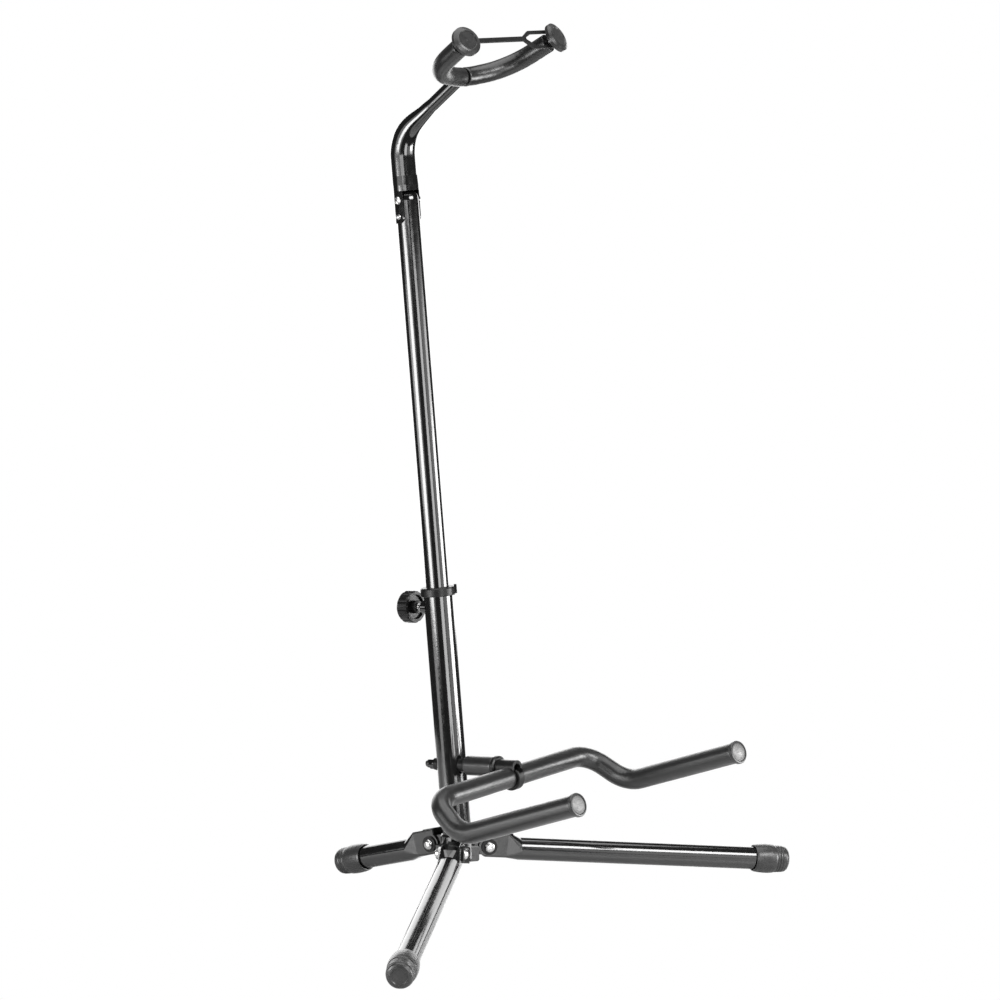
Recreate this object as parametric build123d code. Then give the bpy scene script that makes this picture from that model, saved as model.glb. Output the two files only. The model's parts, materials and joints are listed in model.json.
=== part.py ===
from build123d import *
import math
import os

# Folding tubular guitar stand: a leaning telescopic post on three folding legs, a padded
# cradle for the guitar's body and a padded yoke for its neck.
# Millimetres. +Z is up, -Y is the front (the guitar's side) and +X is to the right of
# someone who looks at the stand from the front. The origin lies on the floor, straight
# below the point where the post's axis meets the level of the leg pivots.

# ---- driving dimensions ----
LEAN = 5.8               # the post leans back by this many degrees
PIVOT_HEIGHT = 44.0      # leg pivots above the floor
PIVOT_RADIUS = 25.7      # leg pivots from the hub's centre
LEG_SPLAY = 58.0         # front legs, degrees either side of straight ahead
FRONT_LEG = 283.0        # pivot to the far end of the foot
REAR_LEG = 117.5
LEG_RADIUS = 10.0
LEG_OFFSET = 2.0         # the tube's axis runs this far below the pivot
LEG_WALL = 1.2
FOOT_LENGTH = 32.0
FOOT_TOE_RADIUS = 11.4
FOOT_SHOULDER = 4.0      # the toe's rounded length
FOOT_FLAT = 0.5          # depth of the worn flat that each foot stands on

POST_RADIUS = 12.7
POST_WALL = 1.2
POST_BOTTOM = -6.0       # distances along the post are from the level of the pivots
POST_TOP = 225.0
MAST_RADIUS = 10.0
MAST_WALL = 1.2
MAST_BOTTOM = 152.0
NECK_PIVOT = 563.0       # hinge of the folding neck, along the post
BUTTON_AT = 549.0        # snap button, along the post
KNOB_AT = 210.3
STEM_AT = 72.5
GAP = 0.05               # clearance between fitted pieces of one body
RUNNING_GAP = 0.3        # clearance between pieces that move past each other

NECK_CORNER = 618.4      # where the neck's two straight runs would meet, along the post
NECK_TURN = 58.5         # the neck bends forward by this many degrees
NECK_BEND = 34.0
NECK_RADIUS = 10.9
NECK_TIP_RADIUS = 5.7
CHANNEL_RADIUS = 11.3
CHANNEL_BOTTOM = 543.5
CHANNEL_TOP = 576.0
CHANNEL_FRONT = -4.5     # front edges of the channel's cheeks
OPENING_TOP = 571.0

YOKE_TILT = 31.2
YOKE_CENTRE = (0.0, -5.9, 710.6)
YOKE_CORNER = (49.0, 13.0)   # across, and forward in the yoke's own plane
YOKE_TIP = (58.3, 64.0)
YOKE_ROD_RADIUS = 3.5
YOKE_FOAM_RADIUS = 8.2
YOKE_CAP_RADIUS = 13.0

BAR = (-61.0, 115.1)         # the cradle's cross bar: Y and Z
BAR_CORNER = 101.0           # half the bar's length, to the corner
ARM_HEEL = (111.5, -98.3, 92.7)
ARM_TIP = (108.6, -219.5, 136.2)
CRADLE_ROLL = 2.1        # the cradle is turned on its stem by this many degrees, its right arm up
CRADLE_ROD_RADIUS = 4.0
CRADLE_FOAM_RADIUS = 9.0
STEM_FOAM_RADIUS = 8.6
BOLT_RADIUS = 3.0

SIN, COS = math.sin(math.radians(LEAN)), math.cos(math.radians(LEAN))
POST_AXIS = Vector(0, SIN, COS)
POST_BACK = Vector(0, COS, -SIN)
BASE_ALIGN = (Align.CENTER, Align.CENTER, Align.MIN)


# ---- helpers ----
def post_point(along, back=0.0, across=0.0):
    """A point given along the post's axis, behind it and across it."""
    return Vector(across, 0, PIVOT_HEIGHT) + POST_AXIS * along + POST_BACK * back


def post_plane(along):
    """Local Z along the post, local Y to the back."""
    return Plane(origin=post_point(along), x_dir=(1, 0, 0), z_dir=POST_AXIS)


def back_plane(along, back=0.0):
    """Local Z square to the post, pointing to the back."""
    return Plane(origin=post_point(along, back), x_dir=(1, 0, 0), z_dir=POST_BACK)


def left_plane(along):
    """Local Z across the post, pointing to -X; local X up the post."""
    return Plane(origin=post_point(along), x_dir=POST_AXIS, z_dir=(-1, 0, 0))


def rod(radius, start, end):
    """A round bar on local Z from start to end."""
    return Pos(0, 0, start) * Cylinder(radius, end - start, align=BASE_ALIGN)


def pipe(outer, inner, start, end):
    return rod(outer, start, end) - rod(inner, start - 1, end + 1)


def turned(points):
    """A solid of revolution about local Z from (radius, height) points."""
    return revolve(Plane.XZ * make_face(Polyline(*points, close=True)), Axis.Z)


def hexagon(across_flats, start, end):
    return Pos(0, 0, start) * extrude(RegularPolygon(across_flats / 2, 6, major_radius=False), end - start)


def thread_points(radius, start, end, pitch=1.0, depth=0.45):
    """The crests and roots of a screw thread as (radius, height) points."""
    turns = int((end - start) / pitch)
    points = []
    for turn in range(turns):
        points.append((radius - depth, start + turn * pitch))
        points.append((radius, start + (turn + 0.5) * pitch))
    points.append((radius - depth, start + turns * pitch))
    return points


def swept_ring(path, outer, inner=None):
    """A round bar, or a sleeve, that follows a path."""
    start = Plane(origin=path @ 0, z_dir=path % 0)
    body = sweep(start * Circle(outer), path=path)
    if inner is not None:
        body -= sweep(start * Circle(inner), path=path)
    return body


def fillet_ring(ring, radius):
    """Round the two outer edges of a ring."""
    return fillet(ring.edges().filter_by(GeomType.CIRCLE).group_by(SortBy.RADIUS)[-1], radius)


def save(name, shape):
    shape.label = name
    export_step(shape, f"parts/{name}.step")


# ---- legs ----
LEGS = {
    "front_left": {"heading": -90 - LEG_SPLAY, "length": FRONT_LEG, "head_side": 1},
    "front_right": {"heading": -90 + LEG_SPLAY, "length": FRONT_LEG, "head_side": -1},
    "rear": {"heading": 90, "length": REAR_LEG, "head_side": 1},
}
CHEEK_GAP = 13.6         # between the two cheeks of a leg's flattened end
CHEEK_OUTER = 16.6
CHEEK_TOP = 12.6
CHEEK_NOSE = 9.5         # radius of the cheeks' lower inner corner about the pivot
WEB_TOP = -8.0
WEB_START = 8.4
SLOT_END = 22.0
LUG_THICK = CHEEK_GAP - 2 * RUNNING_GAP


def leg_drop(length):
    """Degrees that a leg slopes down, so that its foot's flat lies on the floor."""
    along, below = length - FOOT_SHOULDER, FOOT_TOE_RADIUS + LEG_OFFSET
    down = math.asin((PIVOT_HEIGHT + FOOT_FLAT) / math.hypot(along, below))
    return math.degrees(down - math.atan2(below, along))


def leg_plane(leg):
    """Local X out along the leg from its pivot, local Y along the hinge, local Z up."""
    heading, drop = math.radians(leg["heading"]), math.radians(leg_drop(leg["length"]))
    flat = Vector(math.cos(heading), math.sin(heading), 0)
    origin = flat * PIVOT_RADIUS + Vector(0, 0, PIVOT_HEIGHT)
    out = flat * math.cos(drop) - Vector(0, 0, math.sin(drop))
    up = flat * math.sin(drop) + Vector(0, 0, math.cos(drop))
    return Plane(origin=origin, x_dir=out, z_dir=up)


def out_plane(distance):
    """In a leg's own frame, a plane square to the leg at a distance from the pivot."""
    return Plane(origin=(distance, 0, 0), x_dir=(0, 1, 0), z_dir=(1, 0, 0))


def tube_plane(distance):
    """The same, centred on the leg's tube."""
    return Plane(origin=(distance, 0, -LEG_OFFSET), x_dir=(0, 1, 0), z_dir=(1, 0, 0))


HINGE_PLANE = Plane(origin=(0, 0, 0), x_dir=(1, 0, 0), z_dir=(0, 1, 0))


def leg_form(inset, start, end):
    """The leg's outer form, or its bore when inset: a channel that blends into a tube."""
    channel_start, channel_end, tube_start = -12.0, 17.0, 30.0
    height, middle = 23.0, 2.0
    corner, round_corner = 2.5 - inset, LEG_RADIUS - inset - 0.05
    box = RectangleRounded(CHEEK_OUTER - 2 * inset, height - 2 * inset, corner)
    disc = RectangleRounded(2 * (LEG_RADIUS - inset), 2 * (LEG_RADIUS - inset), round_corner)
    length = channel_end - channel_start + start
    form = extrude(out_plane(channel_start - start) * Pos(0, middle) * box, length)
    form += loft([out_plane(channel_end) * Pos(0, middle) * box, tube_plane(tube_start) * disc])
    form += tube_plane(0) * rod(LEG_RADIUS - inset, tube_start, end)
    return form


def leg_tube(length):
    wall = (CHEEK_OUTER - CHEEK_GAP) / 2
    tube = leg_form(0, 0, length - 4.5) - leg_form(wall, 1, length)
    # the top is open over the hub's lug, and the web below it is cut back to let the leg fold
    tube -= Pos(SLOT_END / 2 - 8, 0, 11) * Box(SLOT_END + 16, CHEEK_GAP, 22)
    tube -= Pos(WEB_START / 2 - 8, 0, -9) * Box(WEB_START + 16, CHEEK_GAP, 8)
    tube -= Pos(0, 0, CHEEK_TOP + 4) * Box(60, 30, 8)
    nose = HINGE_PLANE * rod(CHEEK_NOSE, -15, 15)
    nose += Pos(-3, 0, 10) * Box(6, 30, 20)
    tube -= Pos(-8, 0, 0) * Box(16, 30, 40) - nose
    return tube - HINGE_PLANE * rod(BOLT_RADIUS + 0.1, -15, 15)


def foot(length):
    """A rubber boot: a flared thin lip, a barrel, three ribs and a rounded toe with a dished end."""
    mouth = length - FOOT_LENGTH
    profile = [
        (LEG_RADIUS + GAP, mouth + 3.4),
        (11.0, mouth + 2.4),
        (11.0, mouth),
        (11.6, mouth),
        (12.1, mouth + 1.6),
        (12.6, mouth + 5.5),
        (12.9, mouth + 10),
        (12.9, mouth + 14.5),
        (12.6, mouth + 18),
        (12.1, mouth + 19.6),
        (11.7, mouth + 20),
    ]
    for rib in range(3):
        at = mouth + 20.6 + rib * 2.5
        profile += [(12.0 - 0.12 * rib, at), (12.0 - 0.12 * rib, at + 1.2), (11.4, at + 1.7)]
    shoulder = length - FOOT_SHOULDER
    for angle in (0, 20, 40, 60, 78):
        turn = math.radians(angle)
        radius = FOOT_TOE_RADIUS - 4.6 * (1 - math.cos(turn))
        profile.append((radius, shoulder + FOOT_SHOULDER * math.sin(turn)))
    profile += [
        (7.1, length),
        (6.4, length - 0.7),
        (0, length - 0.7),
        (0, length - 4.4),
        (LEG_RADIUS + GAP, length - 4.4),
    ]
    return tube_plane(0) * turned(profile)


def leg_bolt(side):
    """A domed bolt through the cheeks and the lug."""
    head = 9.65
    dome = turned([(0, head), (4.5, head), (4.5, head + 0.9), (3.9, head + 2.1), (2.6, head + 3.0),
                   (0, head + 3.5)])
    bolt = dome + rod(BOLT_RADIUS, -13.5, head)
    return HINGE_PLANE * (bolt if side > 0 else mirror(bolt, Plane.XY))


def leg_nut(side):
    """A domed nut on the bolt's other end."""
    back = 9.65
    nut = hexagon(9.4, back, back + 3.6)
    nut += turned([(0, back + 3.6), (4.2, back + 3.6), (3.6, back + 5.4), (2.0, back + 6.6), (0, back + 7.0)])
    nut -= rod(BOLT_RADIUS + GAP, back - 1, back + 4.2)
    return HINGE_PLANE * (mirror(nut, Plane.XY) if side > 0 else nut)


def leg_washers():
    washer = pipe(7.0, BOLT_RADIUS + 0.1, 8.35, 9.6)
    return [HINGE_PLANE * washer, HINGE_PLANE * mirror(washer, Plane.XY)]


def make_legs():
    bolts, nuts, washers = [], [], []
    floor_cut = Pos(0, 0, -20) * Box(900, 900, 40)
    for name, leg in LEGS.items():
        place = leg_plane(leg)
        save(f"leg_tube_{name}", place * leg_tube(leg["length"]))
        save(f"foot_{name}", place * foot(leg["length"]) - floor_cut)
        bolts.append(place * leg_bolt(leg["head_side"]))
        nuts.append(place * leg_nut(leg["head_side"]))
        washers += [place * washer for washer in leg_washers()]
    save("leg_bolts", Compound(children=bolts))
    save("leg_nuts", Compound(children=nuts))
    save("leg_washers", Compound(children=washers))


def hub_plane(leg):
    """Level, with local X towards a leg and its origin at that leg's pivot."""
    heading = math.radians(leg["heading"])
    flat = Vector(math.cos(heading), math.sin(heading), 0)
    return Plane(origin=flat * PIVOT_RADIUS + Vector(0, 0, PIVOT_HEIGHT), x_dir=flat, z_dir=(0, 0, 1))


def make_hub():
    """A socket for the post with a lug for each leg."""
    body_radius, floor_level = 14.6, -9.5
    block_outer, block_half, block_low, block_high = -10.2, 12.0, -11.0, 2.5
    lug_outer, lug_inner, lug_low, lug_high = 13.0, -20.0, -7.65, 6.5
    hub = post_plane(0) * rod(body_radius, floor_level, 11.0)
    hub += post_plane(0) * turned([(0, 11.0), (body_radius, 11.0), (POST_RADIUS + 0.8, 12.6), (0, 12.6)])
    for leg in LEGS.values():
        lug = Pos((lug_outer + lug_inner) / 2, 0, (lug_low + lug_high) / 2) * Box(
            lug_outer - lug_inner, LUG_THICK, lug_high - lug_low)
        lug = fillet(lug.edges().filter_by(Axis.Y).group_by(Axis.X)[-1].sort_by(Axis.Z)[-1], 5.0)
        lug = chamfer(lug.edges().filter_by(Axis.X).group_by(Axis.Z)[0], 1.2)
        lug -= HINGE_PLANE * rod(BOLT_RADIUS + GAP, -10, 10)
        hub += leg_plane(leg) * lug
        block = Pos((block_outer - PIVOT_RADIUS) / 2, 0, (block_low + block_high) / 2) * Box(
            block_outer + PIVOT_RADIUS, 2 * block_half, block_high - block_low)
        block = chamfer(block.edges().filter_by(Axis.Y).group_by(Axis.X)[-1], 1.2)
        block = chamfer(block.edges().filter_by(Axis.X).group_by(Axis.Z)[-1], 1.0)
        hub += hub_plane(leg) * block
    hub -= post_plane(0) * rod(POST_RADIUS + GAP, POST_BOTTOM - 0.2, 40)
    save("hub", hub)


# ---- post ----
def make_post():
    tube = post_plane(0) * pipe(POST_RADIUS, POST_RADIUS - POST_WALL, POST_BOTTOM, POST_TOP)
    tube -= back_plane(KNOB_AT) * rod(4.2, 5, 20)
    tube -= back_plane(STEM_AT) * rod(BOLT_RADIUS + 0.15, -20, 20)
    save("post_tube", tube)

    # the collar closes the post's top and guides the mast
    low, high = 220.7, 228.0
    collar = post_plane(0) * turned([
        (POST_RADIUS + GAP, low),
        (14.7, low),
        (15.1, low + 0.6),
        (15.1, high - 1.0),
        (14.3, high),
        (MAST_RADIUS + 0.15, high),
        (MAST_RADIUS + 0.15, POST_TOP + 0.1),
        (POST_RADIUS + GAP, POST_TOP + 0.1),
    ])
    ear = post_plane(low + 1.0) * Rot(0, 0, -50) * Pos(15.0, 0, 3.9) * Box(3.0, 4.2, 7.8)
    collar += ear - post_plane(0) * rod(14.2, low - 1, high + 3)
    save("post_collar", collar)

    # the boss carries the clamp screw's thread
    boss = turned([(BOLT_RADIUS + GAP, 8), (6.2, 8), (6.2, 17.0), (5.6, 17.8), (BOLT_RADIUS + GAP, 17.8)])
    boss = back_plane(KNOB_AT) * boss - post_plane(0) * rod(POST_RADIUS + 0.02, 150, 260)
    save("clamp_boss", boss)


def make_mast():
    """The inner tube: its top is domed about the neck's pivot, so that the neck can fold."""
    inner = MAST_RADIUS - MAST_WALL
    tube = rod(MAST_RADIUS, MAST_BOTTOM, NECK_PIVOT) + Pos(0, 0, NECK_PIVOT) * Sphere(MAST_RADIUS)
    tube -= rod(inner, MAST_BOTTOM - 1, NECK_PIVOT) + Pos(0, 0, NECK_PIVOT) * Sphere(inner)
    tube = post_plane(0) * tube
    tube -= left_plane(NECK_PIVOT) * rod(2.55, -20, 20)
    tube -= left_plane(BUTTON_AT) * rod(2.55, 0, 20)
    save("mast_tube", tube)

    bush = pipe(POST_RADIUS - POST_WALL - 0.1, MAST_RADIUS + GAP, MAST_BOTTOM, MAST_BOTTOM + 20)
    bush += pipe(POST_RADIUS - POST_WALL - 0.1, 7.5, MAST_BOTTOM - 3, MAST_BOTTOM - GAP)
    bush += pipe(POST_RADIUS - POST_WALL - 0.1, MAST_RADIUS + GAP, MAST_BOTTOM - 1, MAST_BOTTOM + 1)
    save("mast_bush", post_plane(0) * bush)

    out = CHANNEL_RADIUS + 0.1
    screw = rod(2.5, -out - 1.4, out)
    screw += turned([(0, out), (3.2, out), (3.2, out + 0.9), (2.6, out + 1.7), (0, out + 2.0)])
    screw -= Rot(0, 0, 40) * Pos(0, 0, out + 1.9) * Box(9, 0.8, 1.6)
    save("pivot_screw", left_plane(NECK_PIVOT) * screw)
    nut = pipe(4.2, 2.5 + GAP, -out - 1.5, -out)
    save("pivot_nut", left_plane(NECK_PIVOT) * nut)


def make_button():
    """A sprung button that locks the neck upright, and the leaf spring behind it."""
    button = turned([
        (0, 6.8), (3.9, 6.8), (3.9, 7.6), (2.4, 7.6), (2.4, 12.8), (2.1, 13.5), (1.2, 14.1), (0, 14.3),
    ])
    save("snap_button", left_plane(BUTTON_AT) * button)
    thick, wide = 0.5, 5.0
    leaf = FilletPolyline((-7.9, -6), (-7.9, 20), (0, 25), (6.3, 6), (6.3, -2.5), radius=4.0)
    strip = sweep(Plane(origin=leaf @ 0, z_dir=leaf % 0) * Rectangle(thick, wide), path=leaf)
    save("button_spring", post_plane(BUTTON_AT) * Rot(0, 0, 180) * Rot(-90, 0, 0) * strip)


# ---- neck and yoke ----
def neck_line():
    """Local Z along the neck past its bend, from the corner of its two straight runs."""
    turn = math.radians(NECK_TURN)
    forward = POST_AXIS * math.cos(turn) - POST_BACK * math.sin(turn)
    return Plane(origin=post_point(NECK_CORNER, 0.8), x_dir=(1, 0, 0), z_dir=forward)


def make_neck():
    """A channel that straddles the mast, a bend and a tube that narrows to the yoke."""
    corner, forward = neck_line().origin, neck_line().z_dir
    turn = math.radians(NECK_TURN)
    tangent = NECK_BEND * math.tan(turn / 2)
    centre = corner - POST_AXIS * tangent - POST_BACK * NECK_BEND
    reach = (Vector(*YOKE_CENTRE) - corner).dot(forward)

    def station(share):
        """A plane square to the neck, a share of the way round the bend."""
        angle = share * turn
        radial = POST_BACK * math.cos(angle) + POST_AXIS * math.sin(angle)
        along = POST_AXIS * math.cos(angle) - POST_BACK * math.sin(angle)
        return Plane(origin=centre + radial * NECK_BEND, x_dir=(1, 0, 0), z_dir=along)

    def straight(distance):
        """A plane square to the neck past the bend."""
        origin = corner + forward * (tangent + distance)
        return Plane(origin=origin, x_dir=(1, 0, 0), z_dir=forward)

    taper_end = 26.0
    tip = reach - tangent - YOKE_ROD_RADIUS + 1.0
    rounds = [(station(share), 0.0) for share in (0, 0.25, 0.5, 0.75, 1.0)]
    rounds += [(straight(taper_end * share), share) for share in (0.5, 1.0)]
    radii = [NECK_RADIUS, 10.7, 10.2, 9.3, 8.2, 6.6, NECK_TIP_RADIUS]

    def form(inset):
        faces = [place * Circle(radius - inset) for (place, _), radius in zip(rounds, radii)]
        body = loft(faces)
        lower = centre + POST_BACK * NECK_BEND
        length = (lower - post_point(CHANNEL_TOP, 0.8)).dot(POST_AXIS)
        body += Plane(origin=post_point(CHANNEL_TOP, 0.8), x_dir=(1, 0, 0), z_dir=POST_AXIS) * rod(
            NECK_RADIUS - inset, 0, length)
        body += straight(taper_end) * rod(NECK_TIP_RADIUS - inset, 0, tip - taper_end + inset)
        return body

    neck = form(0)
    blend = 8.0
    bore = MAST_RADIUS + RUNNING_GAP
    channel = rod(CHANNEL_RADIUS, CHANNEL_BOTTOM, CHANNEL_TOP)
    channel += Pos(0, CHANNEL_FRONT, CHANNEL_BOTTOM) * Box(
        2 * CHANNEL_RADIUS, -2 * CHANNEL_FRONT, OPENING_TOP - CHANNEL_BOTTOM, align=BASE_ALIGN)
    channel += turned([(0, CHANNEL_TOP), (CHANNEL_RADIUS, CHANNEL_TOP), (NECK_RADIUS, CHANNEL_TOP + blend),
                       (0, CHANNEL_TOP + blend)])
    neck += post_plane(0) * channel
    neck -= form(1.3)
    neck -= post_plane(0) * rod(bore, CHANNEL_BOTTOM - 1, CHANNEL_TOP)
    # the channel is open at the front; its cheeks are flat inside and rounded below
    opening = Pos(0, -15, CHANNEL_BOTTOM - 1) * Box(
        2 * bore, 30, OPENING_TOP - CHANNEL_BOTTOM + 1, align=BASE_ALIGN)
    opening += Pos(0, CHANNEL_FRONT - 10, CHANNEL_BOTTOM - 1) * Box(
        30, 20, OPENING_TOP - CHANNEL_BOTTOM + 1, align=BASE_ALIGN)
    neck -= post_plane(0) * opening
    round_end = 5.0
    corner_at, corner_back = CHANNEL_BOTTOM + round_end, CHANNEL_FRONT + round_end
    corner_cut = Pos(corner_at - 5, corner_back - 5, 0) * Box(10, 10, 30)
    corner_cut -= Pos(corner_at, corner_back, 0) * Cylinder(round_end, 40)
    neck -= left_plane(0) * corner_cut
    neck -= left_plane(NECK_PIVOT) * rod(2.6, -20, 20)
    neck -= left_plane(BUTTON_AT) * rod(2.6, 0, 20)
    neck -= swept_ring(yoke_path(), YOKE_ROD_RADIUS + GAP)
    save("neck_tube", neck)


def yoke_point(across, forward):
    """A point in the yoke's tilted plane."""
    tilt = math.radians(YOKE_TILT)
    return Vector(*YOKE_CENTRE) + Vector(across, -forward * math.cos(tilt), forward * math.sin(tilt))


YOKE_GAP = 1.2           # half the bare stretch between the two foam sleeves
YOKE_DIP = -2.0
STRAP_SEAT = 5.4         # bare rod between a sleeve and its cap, where the strap sits


def arm_stop(back_off):
    """A point on the right arm, short of its tip."""
    corner, tip = Vector(*YOKE_CORNER), Vector(*YOKE_TIP)
    spot = tip - (tip - corner).normalized() * back_off
    return spot.X, spot.Y


def yoke_path(end=YOKE_TIP):
    right = [(0, YOKE_DIP), YOKE_CORNER, end]
    left = [(-x, y) for x, y in right[:0:-1]]
    return FilletPolyline(*[yoke_point(x, y) for x, y in left + right], radius=[42, 60, 42])


def yoke_foam(side):
    """One sleeve, from beside the weld to the strap's seat."""
    whole = swept_ring(yoke_path(arm_stop(STRAP_SEAT + 3.0)), YOKE_FOAM_RADIUS, YOKE_ROD_RADIUS + GAP)
    keep = Pos(side * (YOKE_GAP + 100), 0, YOKE_CENTRE[2]) * Box(200, 400, 400)
    weld = neck_line() * rod(NECK_TIP_RADIUS + GAP, 60, 84.5)
    return (whole & keep) - weld


def yoke_cap(side):
    """A broad moulded button on the arm's end."""
    x, y = arm_stop(0)
    inner = arm_stop(10)
    origin = yoke_point(side * x, y)
    direction = (origin - yoke_point(side * inner[0], inner[1])).normalized()
    start = -3.0
    cap = turned([
        (YOKE_ROD_RADIUS + GAP, start), (9.8, start), (YOKE_CAP_RADIUS, start + 1.2),
        (YOKE_CAP_RADIUS, start + 4.2), (10.5, start + 5.6), (8.9, start + 6.2), (8.2, start + 5.2),
        (0, start + 5.0), (0, 0.1), (YOKE_ROD_RADIUS + GAP, 0.1),
    ])
    return Plane(origin=origin, z_dir=direction) * cap


def strap():
    """A rubber band: an eye on the left arm and a long loop hooked over the right arm."""
    x, y = arm_stop(3.0 + STRAP_SEAT / 2)
    thick, eye_radius, band_half, band_rise = 2.0, 6.4, 2.0, 3.0
    loop_start, loop_half, loop_rise, rim, flare = 22.0, 8.4, 1.6, 2.6, 9.0
    tilt = math.radians(YOKE_TILT)
    place = Plane(origin=yoke_point(0, y), x_dir=(1, 0, 0), z_dir=(0, -math.cos(tilt), math.sin(tilt)))

    def loop(start, half, start_half):
        """A flared link that is round at its far end."""
        points = [(start, band_rise + start_half), (start + flare, loop_rise + half), (x, loop_rise + half)]
        points += [(x, loop_rise - half), (start + flare, loop_rise - half), (start, band_rise - start_half)]
        return make_face(Polyline(*points, close=True)) + Pos(x, loop_rise) * Circle(half)

    outline = Pos(-x, 0) * Circle(eye_radius)
    outline += Pos((loop_start + 3 - x) / 2, band_rise) * Rectangle(x + loop_start + 3, 2 * band_half)
    outline += loop(loop_start, loop_half, band_half)
    outline -= Pos(-x, 0) * Circle(YOKE_ROD_RADIUS + 0.5)
    outline -= loop(loop_start + rim + 1.0, loop_half - rim, 0.8)
    return place * extrude(outline, thick / 2, both=True)


def make_yoke():
    save("yoke_rod", swept_ring(yoke_path(), YOKE_ROD_RADIUS))
    for name, side in (("left", -1), ("right", 1)):
        save(f"yoke_foam_{name}", yoke_foam(side))
        save(f"yoke_cap_{name}", yoke_cap(side))
    save("yoke_strap", strap())


# ---- clamp knob ----
def make_knob():
    """A fluted knob on a steel clamp screw."""
    inner, outer, radius, lobes = 27.0, 39.0, 14.0, 14
    knob = turned([
        (BOLT_RADIUS + GAP, 23.5), (5.0, 23.5), (5.6, 24.4), (5.6, inner + 2.5), (10.2, inner + 2.5),
        (10.8, inner), (13.0, inner), (radius, inner + 1.2), (radius, outer - 2.6), (12.6, outer - 0.8),
        (9.5, outer), (0, outer + 0.6), (0, outer - 4), (BOLT_RADIUS + GAP, outer - 4),
    ])
    for lobe in range(lobes):
        knob -= Rot(0, 0, 360 / lobes * lobe) * Pos(radius + 1.3, 0, inner - 2) * Cylinder(
            2.3, outer - inner + 6, align=BASE_ALIGN)
    save("knob_head", back_plane(KNOB_AT) * knob)
    tip, end = MAST_RADIUS + 0.1, outer - 4.1
    screw = turned([(0, tip), (2.0, tip)] + thread_points(BOLT_RADIUS, tip + 0.6, end) + [(0, end)])
    save("knob_screw", back_plane(KNOB_AT) * screw)


# ---- cradle ----
def cradle_path(start, side):
    """The bent rod's centre line, from beside the middle of the bar to one arm's tip."""
    heel, tip = (side * ARM_HEEL[0], *ARM_HEEL[1:]), (side * ARM_TIP[0], *ARM_TIP[1:])
    return FilletPolyline((side * start, *BAR), (side * BAR_CORNER, *BAR), heel, tip, radius=[24, 32])


def arm_plane(side):
    """Local Z out of an arm's tip."""
    tip = Vector(side * ARM_TIP[0], *ARM_TIP[1:])
    heel = Vector(side * ARM_HEEL[0], *ARM_HEEL[1:])
    return Plane(origin=tip, z_dir=(tip - heel).normalized())


def cradle_cap(side):
    """A moulded ring on the arm's end and the domed metal disc set in it."""
    ring = turned([
        (CRADLE_ROD_RADIUS + GAP, 0.05), (9.4, 0.05), (10.0, 0.7), (10.0, 2.9), (9.5, 3.6), (8.5, 3.8),
        (8.05, 3.2), (8.05, 2.4), (0, 2.4), (0, 1.9), (CRADLE_ROD_RADIUS + GAP, 1.9),
    ])
    disc = turned([(0, 2.45), (8.0, 2.45), (8.0, 3.0), (7.4, 3.6), (5.8, 4.3), (3.4, 4.9), (0, 5.2)])
    return arm_plane(side) * ring, arm_plane(side) * disc


def save_cradle(name, shape):
    """Save a piece of the cradle, turned on the stem."""
    save(name, shape.rotate(Axis(post_point(STEM_AT), POST_BACK), -CRADLE_ROLL))


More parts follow.
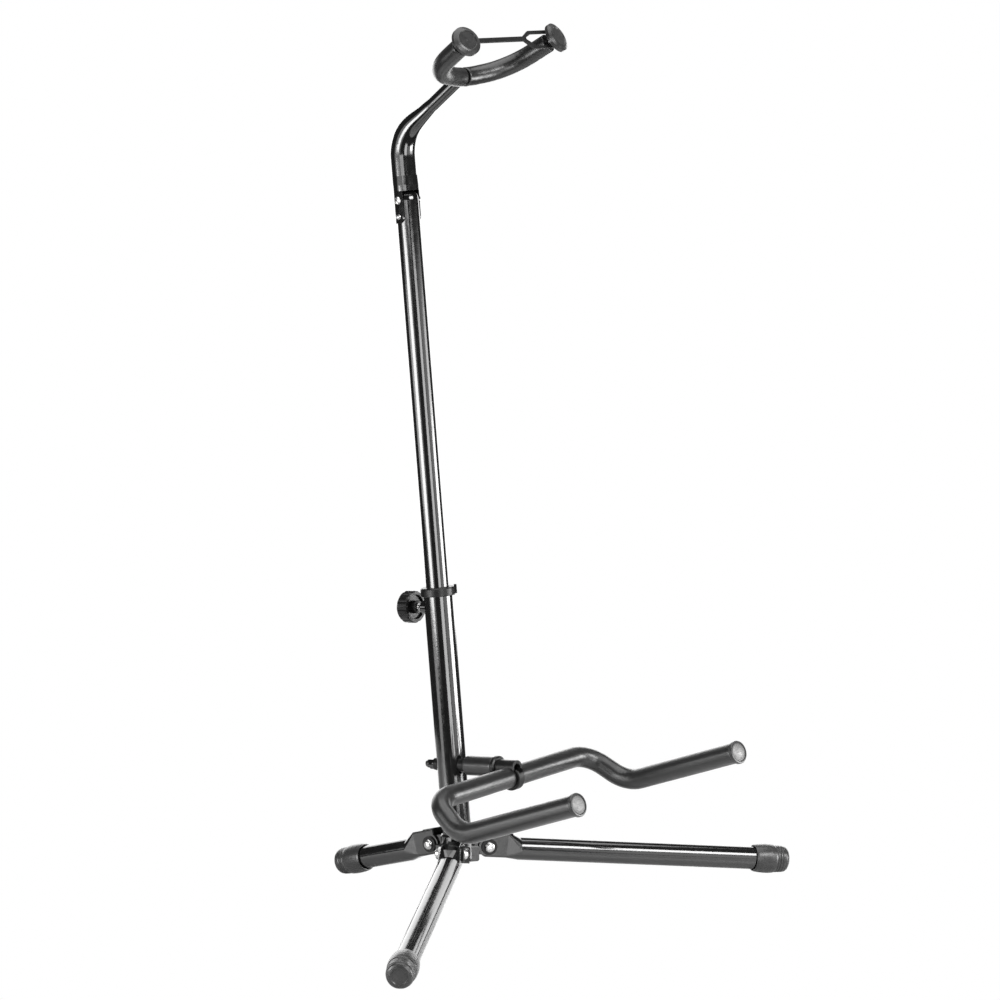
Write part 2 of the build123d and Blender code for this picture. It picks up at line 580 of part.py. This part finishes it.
def make_cradle():
    sleeve_start, stem_radius = 4.1, 4.0
    half = swept_ring(cradle_path(0, 1), CRADLE_ROD_RADIUS)
    bent_rod = half + mirror(half, Plane.YZ)
    for side in (-1, 1):
        bent_rod += arm_plane(side) * rod(CRADLE_ROD_RADIUS, -0.5, 1.8)
    save_cradle("cradle_rod", bent_rod)
    for name, side in (("left", -1), ("right", 1)):
        sleeve = swept_ring(cradle_path(sleeve_start, side), CRADLE_FOAM_RADIUS, CRADLE_ROD_RADIUS + GAP)
        ring, disc = cradle_cap(side)
        save_cradle(f"cradle_foam_{name}", sleeve)
        save_cradle(f"cradle_cap_{name}", ring)
        save_cradle(f"cradle_disc_{name}", disc)

    # the stem: a short tube welded on top of the bar
    bar_back = -(BAR[0] - post_point(STEM_AT).Y) / COS
    stem_start, foam_end = -19.0, -50.5
    stem = back_plane(STEM_AT) * pipe(stem_radius, BOLT_RADIUS + GAP, -bar_back - 4, stem_start)
    bar_line = Plane(origin=(0, *BAR), x_dir=(0, 1, 0), z_dir=(1, 0, 0))
    stem -= bar_line * rod(CRADLE_ROD_RADIUS + 0.02, -20, 20)
    save_cradle("cradle_stem", stem)
    foam = pipe(STEM_FOAM_RADIUS, stem_radius + GAP, foam_end, stem_start)
    save_cradle("stem_foam", back_plane(STEM_AT) * foam)
    bore = stem_radius + GAP
    ring = turned([(bore, foam_end - 4.5), (8.2, foam_end - 4.5), (9.5, foam_end - 3.6),
                   (9.5, foam_end - 0.8), (9.0, foam_end - GAP), (bore, foam_end - GAP)])
    save_cradle("stem_ring", back_plane(STEM_AT) * ring)
    flange = pipe(6.4, BOLT_RADIUS + GAP, stem_start + GAP, stem_start + 1.8)
    save_cradle("stem_flange", back_plane(STEM_AT) * flange)

    # the clip covers the bare stretch of bar and runs back along the stem to the ring
    sleeve = back_plane(STEM_AT) * rod(6.6, -bar_back - 6, foam_end - 4.5 - GAP)
    clip = bar_line * fillet_ring(pipe(11.6, CRADLE_ROD_RADIUS + GAP, -3.95, 3.95), 1.0) + sleeve
    clip -= bar_line * rod(CRADLE_ROD_RADIUS + GAP, -30, 30)
    clip -= bar_line * pipe(CRADLE_FOAM_RADIUS + 0.1, 2.0, 3.95, 30)
    clip -= bar_line * pipe(CRADLE_FOAM_RADIUS + 0.1, 2.0, -30, -3.95)
    clip -= back_plane(STEM_AT) * rod(bore, -bar_back - 30, 0)
    save_cradle("rod_clip", clip)

    # stud, washer and domed nut
    stud = turned([(0, -26), (2.55, -26)] + [(BOLT_RADIUS, -25.4), (BOLT_RADIUS, 14)]
                  + thread_points(BOLT_RADIUS, 14.2, 24) + [(0, 24.0)])
    save_cradle("stem_stud", back_plane(STEM_AT) * stud)
    save_cradle("stem_washer", back_plane(STEM_AT) * pipe(5.4, BOLT_RADIUS + 0.1, 17.0, 18.2))
    nut = hexagon(8.4, 18.3, 23.0)
    nut += turned([(0, 23.0), (3.9, 23.0), (3.8, 25.6), (3.2, 27.6), (1.7, 28.7), (0, 29.0)])
    save_cradle("stem_nut", back_plane(STEM_AT) * (nut - rod(BOLT_RADIUS + GAP, 17, 24.6)))


def make_saddles():
    """Two round spacers, hollowed to sit on the post, either side of it on the cradle's stud."""
    tube = post_plane(0) * rod(POST_RADIUS + 0.02, 40, 110)
    hole = back_plane(STEM_AT) * rod(BOLT_RADIUS + 0.15, -30, 30)
    front = back_plane(STEM_AT) * rod(6.0, -16.7, -10.0)
    save("front_saddle", front - tube - hole)
    rear = back_plane(STEM_AT) * rod(5.6, 10.0, 16.7)
    save("rear_saddle", rear - tube - hole)


def main():
    os.makedirs("parts", exist_ok=True)
    make_hub()
    make_legs()
    make_post()
    make_mast()
    make_button()
    make_neck()
    make_yoke()
    make_knob()
    make_cradle()
    make_saddles()


main()
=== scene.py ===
import json
import math

import bmesh
import bpy
from mathutils import Matrix, Vector, noise


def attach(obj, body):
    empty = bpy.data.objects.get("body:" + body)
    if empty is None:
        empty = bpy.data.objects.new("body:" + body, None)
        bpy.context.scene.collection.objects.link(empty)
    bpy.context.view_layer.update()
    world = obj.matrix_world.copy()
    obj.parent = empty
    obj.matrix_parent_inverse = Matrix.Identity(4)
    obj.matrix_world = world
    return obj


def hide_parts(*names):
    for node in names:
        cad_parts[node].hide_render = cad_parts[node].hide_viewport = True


# Looks for the folding guitar stand: foam sleeves, moulded rubber and plastic, glossy
# powder-coated tube and zinc fittings, in soft studio light over a plain pale floor.
# The stand's own sizes are in millimetres, and MM turns them into metres. The stage,
# the camera and the materials' bumps are in metres.

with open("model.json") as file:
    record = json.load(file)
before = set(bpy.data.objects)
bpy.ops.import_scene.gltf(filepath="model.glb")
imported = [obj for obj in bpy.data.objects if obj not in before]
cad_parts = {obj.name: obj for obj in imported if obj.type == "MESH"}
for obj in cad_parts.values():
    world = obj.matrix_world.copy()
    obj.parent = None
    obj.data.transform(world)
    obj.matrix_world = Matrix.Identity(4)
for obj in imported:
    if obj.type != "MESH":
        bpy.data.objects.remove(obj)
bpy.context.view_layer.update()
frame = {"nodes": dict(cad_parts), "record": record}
MM = 0.001

# ---- the stand's own dimensions, for the foam that is made again here ----
LEAN = math.radians(5.8)  # the post leans back
PIVOT_HEIGHT = 44.0  # of the leg pivots, where lengths along the post start
POST_AXIS = Vector((0, math.sin(LEAN), math.cos(LEAN)))
POST_BACK = Vector((0, math.cos(LEAN), -math.sin(LEAN)))

STEM_AT = 72.5  # along the post
STEM_FOAM_ENDS = (-19.0, -50.5)  # behind the post's axis, so in front where negative
STEM_FOAM_RADIUS = 8.6
CRADLE_FOAM_RADIUS = 9.0
CRADLE_BORE = 4.05
CRADLE_ROLL = math.radians(2.1)
CRADLE_BENDS = (24, 32)
BAR = (-61.0, 115.1)  # Y and Z
BAR_CORNER = 101.0
ARM_HEEL = (111.5, -98.3, 92.7)
ARM_TIP = (108.6, -219.5, 136.2)
CLIP_EDGE = 4.1  # where the foam starts, beside the middle of the bar

YOKE_FOAM_RADIUS = 8.2
YOKE_BORE = 3.55
YOKE_TILT = math.radians(31.2)
YOKE_CENTRE = Vector((0.0, -5.9, 710.6))
YOKE_CORNER = (49.0, 13.0)  # across, and forward in the yoke's own plane
YOKE_TIP = (58.3, 64.0)
YOKE_DIP = -2.0
YOKE_BENDS = (42, 60, 42)
YOKE_GAP = 1.2  # half the bare stretch between the two sleeves
YOKE_SEAT = 8.4  # from the tip back to the foam's end

# ---- the foam's own detail ----
AROUND = 64  # points round a sleeve
CRADLE_STEP = 1.5  # between rings
YOKE_STEP = 1.0
LIP = 1.1  # the rounding of a sleeve's ends
LIP_MARKS = (0.0, 0.08, 0.25, 0.5, 0.8, LIP)
LIP_CLEAR = 0.5
SKIN_INSET = 0.06  # the skin's mean depth under the full radius
WOBBLES = ((0.035, 0.10), (0.16, 0.05))  # pitch per millimetre, and height
SEED_SHIFT = Vector((7.3, 3.1, 5.7))
TIGHT_BEND = 30.0  # the radius of a bend whose creases have their full height
CREASE_WAVE = 1.25  # radians a millimetre
CREASE_SINK = 0.35  # creases go in more than out
CRADLE_CREASE = 0.06
YOKE_CREASE = 0.05
SHARP_EDGE = math.radians(60)

# ---- the stage, in metres, with turns in degrees to the right of the camera ----
CAMERA_AZIMUTH = math.radians(-49.72)
CAMERA_RISE = 8.57  # degrees above level
CAMERA_TARGET = Vector((0.0563, 0.0, 0.3427))
CAMERA_DISTANCE = 3.511
CAMERA_LENS = 145.37
ROOM_GLOW = 0.06
FLOOR_RADIUS = 0.6
FLOOR_SIDES = 96
FLOOR_DROP = 0.0002
STAND_OFF = 1.4  # of the upright lights
AIM = Vector((0, 0, 0.1))  # of the lights from above

# upright lights: name, turn, width in degrees, foot, top and radiance
UPRIGHTS = (
    ("left_box", -53, 29, 0.06, 0.57, 14),
    ("left_wing", -80, 20, 0.12, 0.40, 3.4),
    ("left_low", -62, 24, -0.3, 0.05, 2.2),
    ("left_glow", -53, 54, 0.05, 0.95, 1.6),
    ("front_strip", 25, 23, 0.0, 0.67, 6.5),
    ("right_box", 86, 30, 0.02, 0.44, 15),
    ("right_fade", 86, 28, 0.44, 0.58, 5),
    ("right_glow", 72, 60, 0.02, 0.66, 1.5),
    ("neck_strip", -14, 30, 0.64, 0.82, 4.5),
    ("rear_wall", 180, 76, 0.0, 0.80, 2.9),
)
# lights from above: name, turn, rise in degrees, distance, size and radiance
RAISED = (
    ("upper_box", 48, 36, 3.0, (1.94, 0.88), 15),
    ("overhead", 0, 89, 2.4, (2.6, 2.6), 3.0),
)


# ---- node helpers ----
# a colour Mix node has several sockets of each name, so its colour ones go by number
MIX_A, MIX_B, MIX_RESULT = 6, 7, 2


class Nodes:
    """A small builder for one material's node tree."""

    def __init__(self, name):
        self.material = bpy.data.materials.new(name)
        self.material.use_nodes = True
        self.tree = self.material.node_tree
        self.tree.nodes.clear()
        self.out = self.add("ShaderNodeOutputMaterial")
        self.shader = self.add("ShaderNodeBsdfPrincipled")
        self.link(self.shader, "BSDF", self.out, "Surface")
        self.coords = self.add("ShaderNodeTexCoord")

    def add(self, kind, **settings):
        node = self.tree.nodes.new(kind)
        for name, value in settings.items():
            setattr(node, name, value)
        return node

    def link(self, source, output, target, into):
        self.tree.links.new(source.outputs[output], target.inputs[into])

    def set(self, **values):
        """Sets the shader's own inputs."""
        for name, value in values.items():
            self.shader.inputs[name.replace("_", " ")].default_value = value

    def noise(self, scale, detail=2.0, roughness=0.5, stretch=None):
        node = self.add("ShaderNodeTexNoise")
        node.inputs["Scale"].default_value = scale
        node.inputs["Detail"].default_value = detail
        node.inputs["Roughness"].default_value = roughness
        if stretch is None:
            self.link(self.coords, "Object", node, "Vector")
        else:
            mapping = self.add("ShaderNodeMapping")
            mapping.inputs["Scale"].default_value = stretch
            self.link(self.coords, "Object", mapping, "Vector")
            self.link(mapping, "Vector", node, "Vector")
        return node

    def ramp(self, source, stops):
        """A ramp over a noise: stops are (place, value or colour)."""
        node = self.add("ShaderNodeValToRGB")
        ramp = node.color_ramp
        while len(ramp.elements) < len(stops):
            ramp.elements.new(0.5)
        for element, (place, value) in zip(ramp.elements, stops):
            element.position = place
            colour = value if isinstance(value, tuple) else grey(value)
            element.color = (*colour, 1.0)
        self.link(source, "Fac", node, "Fac")
        return node

    def drive(self, into, source, stops):
        """Drives one of the shader's inputs from a noise, through a ramp."""
        self.link(self.ramp(source, stops), "Color", self.shader, into)

    def bump(self, layers):
        """Chained bumps: layers are (source, output, distance in metres, strength)."""
        last = None
        for source, output, distance, strength in layers:
            node = self.add("ShaderNodeBump")
            node.inputs["Distance"].default_value = distance
            node.inputs["Strength"].default_value = strength
            self.link(source, output, node, "Height")
            if last is not None:
                self.link(last, "Normal", node, "Normal")
            last = node
        self.link(last, "Normal", self.shader, "Normal")


def grey(value, warmth=0.0):
    return (value * (1 + warmth), value, value * (1 - warmth))


# ---- materials ----
def painted_tube():
    """Glossy black powder coat: fine orange peel, faint dust and small changes of gloss."""
    n = Nodes("black_paint")
    n.set(Specular_IOR_Level=0.88)
    n.drive("Base Color", n.noise(55, 4, 0.6), [(0.3, grey(0.0025)), (0.75, grey(0.005))])
    n.drive("Roughness", n.noise(190, 3, 0.6), [(0.25, 0.09), (0.8, 0.15)])
    ripple, peel = n.noise(140, 1, 0.4), n.noise(900, 2, 0.5)
    n.bump([(ripple, "Fac", 0.00006, 0.5), (peel, "Fac", 0.00002, 0.6)])
    return n.material


def moulded_plastic(name, base, rough):
    """Moulded plastic: an even colour, a soft gloss and a very fine grain."""
    n = Nodes(name)
    n.set(Specular_IOR_Level=0.25)
    n.drive("Base Color", n.noise(120, 3, 0.6), [(0.3, grey(base * 0.8)), (0.75, grey(base * 1.3))])
    n.drive("Roughness", n.noise(400, 3), [(0.3, rough * 0.8), (0.75, rough * 1.25)])
    n.bump([(n.noise(1500, 2), "Fac", 0.00003, 0.5)])
    return n.material


def foam_skin():
    """Closed-cell foam: a dark satin skin of fine pores, with paler specks where it has rubbed."""
    n = Nodes("foam")
    n.set(Specular_IOR_Level=0.6, Sheen_Weight=0.07, Sheen_Roughness=0.45)
    speck = n.noise(1300, 3, 0.65)
    base = n.ramp(n.noise(60, 4, 0.6), [(0.3, grey(0.003)), (0.7, grey(0.006))])
    fleck = n.ramp(speck, [(0.35, grey(0.7)), (0.55, grey(1.0)), (0.75, grey(1.4))])
    mix = n.add("ShaderNodeMix", data_type="RGBA", blend_type="MULTIPLY")
    mix.inputs["Factor"].default_value = 1.0
    n.link(base, "Color", mix, MIX_A)
    n.link(fleck, "Color", mix, MIX_B)
    n.link(mix, MIX_RESULT, n.shader, "Base Color")
    n.drive("Roughness", n.noise(300, 3), [(0.3, 0.29), (0.7, 0.38)])
    pores = n.add("ShaderNodeTexVoronoi", feature="F1")
    pores.inputs["Scale"].default_value = 1400
    n.link(n.coords, "Object", pores, "Vector")
    n.bump([(n.noise(220, 2, 0.5), "Fac", 0.0001, 0.4), (pores, "Distance", 0.00003, 0.35),
            (speck, "Fac", 0.00002, 0.4)])
    return n.material


def moulded_rubber(name, base, rough):
    """Dark rubber: satin, a little dusty, with a fine tooled grain."""
    n = Nodes(name)
    n.set(Specular_IOR_Level=0.42, Sheen_Weight=0.08)
    n.drive("Base Color", n.noise(90, 5, 0.65),
            [(0.3, grey(base * 0.75)), (0.55, grey(base)), (0.8, grey(base * 1.7, 0.02))])
    n.drive("Roughness", n.noise(260, 4), [(0.3, rough * 0.85), (0.75, rough * 1.25)])
    dimples, grain = n.noise(160, 2), n.noise(1000, 3, 0.6)
    n.bump([(dimples, "Fac", 0.00008, 0.5), (grain, "Fac", 0.00003, 0.4)])
    return n.material


def bare_metal(name, base, rough):
    """Zinc plate or spring steel: a soft bloom and hairline scratches."""
    n = Nodes(name)
    n.set(Metallic=1.0)
    n.drive("Base Color", n.noise(300, 4, 0.6), [(0.3, grey(base * 0.85)), (0.7, grey(base, 0.01))])
    hair = n.noise(260, 4, 0.7, stretch=(1.0, 1.0, 9.0))
    n.drive("Roughness", hair, [(0.3, rough * 0.7), (0.75, rough * 1.5)])
    n.bump([(hair, "Fac", 0.00002, 0.4)])
    return n.material


MATERIALS = {
    "black_paint": painted_tube(),
    "black_plastic": moulded_plastic("black_plastic", 0.005, 0.34),
    "white_plastic": moulded_plastic("white_plastic", 0.6, 0.5),
    "black_rubber": moulded_rubber("black_rubber", 0.015, 0.30),
    "strap_rubber": moulded_rubber("strap_rubber", 0.004, 0.32),
    "foam": foam_skin(),
    "zinc": bare_metal("zinc", 0.55, 0.24),
    "brushed_zinc": bare_metal("brushed_zinc", 0.19, 0.6),
    "spring_steel": bare_metal("spring_steel", 0.38, 0.3),
}

for entry in frame["record"]["subparts"]:
    node = frame["nodes"][entry["node"]]
    if not node.material_slots:
        node.data.materials.append(None)
    for held in node.material_slots:
        held.link = "OBJECT"
        held.material = MATERIALS[entry["material_slot"]]


# ---- paths ----
def rounded_path(points, radii, step):
    """Points about a step apart along straight runs joined by arcs, all in millimetres."""
    runs = [Vector(points[0])]
    for before, corner, after, radius in zip(points, points[1:], points[2:], radii):
        before, corner, after = Vector(before), Vector(corner), Vector(after)
        back, on = (before - corner).normalized(), (after - corner).normalized()
        turn = math.pi - back.angle(on)
        centre = corner + (back + on).normalized() * (radius / math.cos(turn / 2))
        start = corner + back * (radius * math.tan(turn / 2))
        axis = (start - centre).cross(corner - centre).normalized()
        count = max(2, int(radius * turn / step))
        for i in range(count + 1):
            runs.append(centre + Matrix.Rotation(turn * i / count, 3, axis) @ (start - centre))
    runs.append(Vector(points[-1]))
    dense = [runs[0]]
    for point in runs[1:]:
        first = dense[-1]
        gap = (point - first).length
        if gap < 1e-6:
            continue
        count = max(1, round(gap / step))
        dense += [first.lerp(point, i / count) for i in range(1, count + 1)]
    return dense


def frames_along(path):
    """A tangent and two side directions at each point, turned as little as possible."""
    last = len(path) - 1
    tangents = [(path[min(i + 1, last)] - path[max(i - 1, 0)]).normalized() for i in range(last + 1)]
    side = tangents[0].cross(Vector((0, 0, 1)))
    if side.length < 1e-3:
        side = tangents[0].cross(Vector((0, 1, 0)))
    result = []
    for tangent in tangents:
        side = (side - tangent * side.dot(tangent)).normalized()
        result.append((tangent, side, tangent.cross(side)))
    return result


def fine_ends(path):
    """Extra points close to both ends, so that a sleeve's rounded lip is smooth."""
    first, last = path[0], path[-1]
    start = (path[1] - first).normalized()
    finish = (last - path[-2]).normalized()
    clear = LIP + LIP_CLEAR
    inner = [p for p in path if (p - first).length > clear and (p - last).length > clear]
    return [first + start * m for m in LIP_MARKS] + inner + [last - finish * m for m in reversed(LIP_MARKS)]


# ---- foam ----
def foam_sleeve(name, node, body, path, outer, inner, seed, crease=0.0):
    """A foam tube along a path: soft edges, a skin that isn't quite round, and creases inside bends."""
    path = fine_ends(path)
    spots = frames_along(path)
    lengths = [0.0]
    for a, b in zip(path, path[1:]):
        lengths.append(lengths[-1] + (b - a).length)
    bends = []
    for i in range(len(path)):
        low, high = max(0, i - 2), min(len(path) - 1, i + 2)
        bends.append((spots[high][0] - spots[low][0]) / (lengths[high] - lengths[low]))
    mesh = bmesh.new()

    def skin(index, direction):
        """How far the skin lies from the path: the full radius, less the lip, plus wobble and creases."""
        near = min(lengths[index], lengths[-1] - lengths[index], LIP)
        lip = LIP - math.sqrt(max(0.0, LIP * LIP - (LIP - near) ** 2))
        point = path[index] + direction * outer
        wobble = sum(height * noise.noise(point * pitch + SEED_SHIFT * seed) for pitch, height in WOBBLES)
        inside = max(0.0, bends[index].dot(direction)) * TIGHT_BEND
        fold = inside * crease * (math.sin(lengths[index] * CREASE_WAVE + seed) - CREASE_SINK)
        return outer - SKIN_INSET - lip + wobble + fold

    def ring(index, bore=None):
        """A ring of points round the path, on the bore where its radius is given and else on the skin."""
        _, side, up = spots[index]
        points = []
        for k in range(AROUND):
            angle = 2 * math.pi * k / AROUND
            direction = side * math.cos(angle) + up * math.sin(angle)
            reach = bore or skin(index, direction)
            points.append(mesh.verts.new((path[index] + direction * reach) * MM))
        return points

    # out along the skin, back along the bore, and closed into a tube
    places = range(len(path))
    rings = [ring(i) for i in places] + [ring(i, inner) for i in reversed(places)]
    for a, b in zip(rings, rings[1:] + rings[:1]):
        for k in range(AROUND):
            n = (k + 1) % AROUND
            mesh.faces.new((a[k], a[n], b[n], b[k]))
    data = bpy.data.meshes.new(name)
    mesh.to_mesh(data)
    mesh.free()
    data.shade_smooth()
    data.materials.append(MATERIALS["foam"])
    piece = bpy.data.objects.new(name, data)
    bpy.context.scene.collection.objects.link(piece)
    piece.modifiers.new("edges", "EDGE_SPLIT").split_angle = SHARP_EDGE
    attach(piece, body)
    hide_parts(node)


def post_point(along, back=0.0):
    """A place this far up the post's axis from the pivots' height, and this far behind it."""
    return Vector((0, 0, PIVOT_HEIGHT)) + POST_AXIS * along + POST_BACK * back


def rolled(path):
    """The cradle sits turned a little on its stem."""
    turn, centre = Matrix.Rotation(-CRADLE_ROLL, 3, POST_BACK), post_point(STEM_AT)
    return [centre + turn @ (point - centre) for point in path]


def yoke_point(across, forward):
    """A place in the yoke's own tilted plane."""
    return YOKE_CENTRE + Vector((across, -forward * math.cos(YOKE_TILT), forward * math.sin(YOKE_TILT)))


def cradle_foam():
    """One sleeve on each side, from the clip round the bar's corner and the heel to the arm's tip."""
    for side, label, seed in ((-1, "left", 1), (1, "right", 2)):
        clip = (side * CLIP_EDGE, *BAR)
        corner = (side * BAR_CORNER, *BAR)
        heel = (side * ARM_HEEL[0], *ARM_HEEL[1:])
        tip = (side * ARM_TIP[0], *ARM_TIP[1:])
        line = rolled(rounded_path([clip, corner, heel, tip], CRADLE_BENDS, CRADLE_STEP))
        foam_sleeve(f"cradle_sleeve_{label}", f"cradle_foam_{label}", "cradle", line,
                    CRADLE_FOAM_RADIUS, CRADLE_BORE, seed, CRADLE_CREASE)
    line = rounded_path([post_point(STEM_AT, back) for back in STEM_FOAM_ENDS], [], CRADLE_STEP)
    foam_sleeve("stem_sleeve", "stem_foam", "cradle", line, STEM_FOAM_RADIUS, CRADLE_BORE, 3)


def yoke_foam():
    """Two sleeves, each from the narrow gap in the middle of the yoke out to a cap."""
    corner, tip = Vector(YOKE_CORNER), Vector(YOKE_TIP)
    seat = tip - (tip - corner).normalized() * YOKE_SEAT
    whole = [(-seat.x, seat.y), (-corner.x, corner.y), (0, YOKE_DIP), corner, seat]
    whole = rounded_path([yoke_point(*place) for place in whole], YOKE_BENDS, YOKE_STEP)
    for side, label, seed in ((-1, "left", 4), (1, "right", 5)):
        line = [p for p in whole[::side] if p.x * side > YOKE_GAP]
        foam_sleeve(f"yoke_sleeve_{label}", f"yoke_foam_{label}", "neck", line,
                    YOKE_FOAM_RADIUS, YOKE_BORE, seed, YOKE_CREASE)


# ---- stage ----
def soft_floor():
    """A round pale table top. The camera looks through it to the white surround, so that folded legs show."""
    mesh = bpy.data.meshes.new("floor")
    rim = [(FLOOR_RADIUS * math.cos(turn), FLOOR_RADIUS * math.sin(turn), 0)
           for turn in (2 * math.pi * i / FLOOR_SIDES for i in range(FLOOR_SIDES))]
    mesh.from_pydata(rim, [], [tuple(range(FLOOR_SIDES))])
    floor = bpy.data.objects.new("floor", mesh)
    floor.location.z = -FLOOR_DROP
    bpy.context.scene.collection.objects.link(floor)
    n = Nodes("studio_floor")
    n.set(Roughness=0.3, Specular_IOR_Level=0.5)
    n.drive("Base Color", n.noise(2, 2), [(0.3, grey(0.55)), (0.7, grey(0.59))])
    floor.data.materials.append(n.material)
    floor.visible_camera = False


def studio_world():
    """A white surround for the eye; reflections see a dim room, which keeps black paint black."""
    world = bpy.data.worlds.new("studio")
    world.use_nodes = True
    tree = world.node_tree
    seen = tree.nodes.new("ShaderNodeLightPath")
    mix = tree.nodes.new("ShaderNodeMixShader")
    room, surround = tree.nodes["Background"], tree.nodes.new("ShaderNodeBackground")
    room.inputs["Strength"].default_value = ROOM_GLOW
    surround.inputs["Strength"].default_value = 1.0
    for background in (room, surround):
        background.inputs["Color"].default_value = (1, 1, 1, 1)
    tree.links.new(seen.outputs["Is Camera Ray"], mix.inputs["Fac"])
    tree.links.new(room.outputs["Background"], mix.inputs[1])
    tree.links.new(surround.outputs["Background"], mix.inputs[2])
    tree.links.new(mix.outputs["Shader"], tree.nodes["World Output"].inputs["Surface"])
    bpy.context.scene.world = world


def outward(turn, rise):
    """The direction out from the stand, by degrees to the right of the camera and above level."""
    heading, rise = CAMERA_AZIMUTH + math.radians(turn), math.radians(rise)
    return Vector((math.sin(heading) * math.cos(rise), -math.cos(heading) * math.cos(rise), math.sin(rise)))


def soft_light(name, place, rotation, size, radiance):
    """A rectangular light that the camera doesn't see."""
    light = bpy.data.lights.new(name, "AREA")
    light.shape = "RECTANGLE"
    light.size, light.size_y = size
    light.energy = math.pi * light.size * light.size_y * radiance
    lamp = bpy.data.objects.new(name, light)
    lamp.location = place
    lamp.rotation_euler = rotation
    lamp.visible_camera = False
    bpy.context.scene.collection.objects.link(lamp)


def studio_lights():
    for name, turn, width, foot, top, radiance in UPRIGHTS:
        heading = CAMERA_AZIMUTH + math.radians(turn)
        place = (math.sin(heading) * STAND_OFF, -math.cos(heading) * STAND_OFF, (foot + top) / 2)
        size = (2 * STAND_OFF * math.tan(math.radians(width / 2)), top - foot)
        soft_light(name, place, (math.radians(90), 0, heading), size, radiance)
    for name, turn, rise, distance, size, radiance in RAISED:
        out = outward(turn, rise)
        soft_light(name, out * distance + AIM, out.to_track_quat("Z", "Y").to_euler(), size, radiance)


def studio_camera():
    camera = bpy.data.objects.new("camera", bpy.data.cameras.new("camera"))
    bpy.context.scene.collection.objects.link(camera)
    back = outward(0, CAMERA_RISE)
    camera.location = CAMERA_TARGET + back * CAMERA_DISTANCE
    camera.rotation_euler = (-back).to_track_quat("-Z", "Y").to_euler()
    camera.data.sensor_width = 36.0
    camera.data.lens = CAMERA_LENS
    camera.data.clip_end = 60
    bpy.context.scene.camera = camera


cradle_foam()
yoke_foam()
soft_floor()
studio_world()
bpy.context.scene.view_settings.view_transform = "Standard"
studio_lights()
studio_camera()
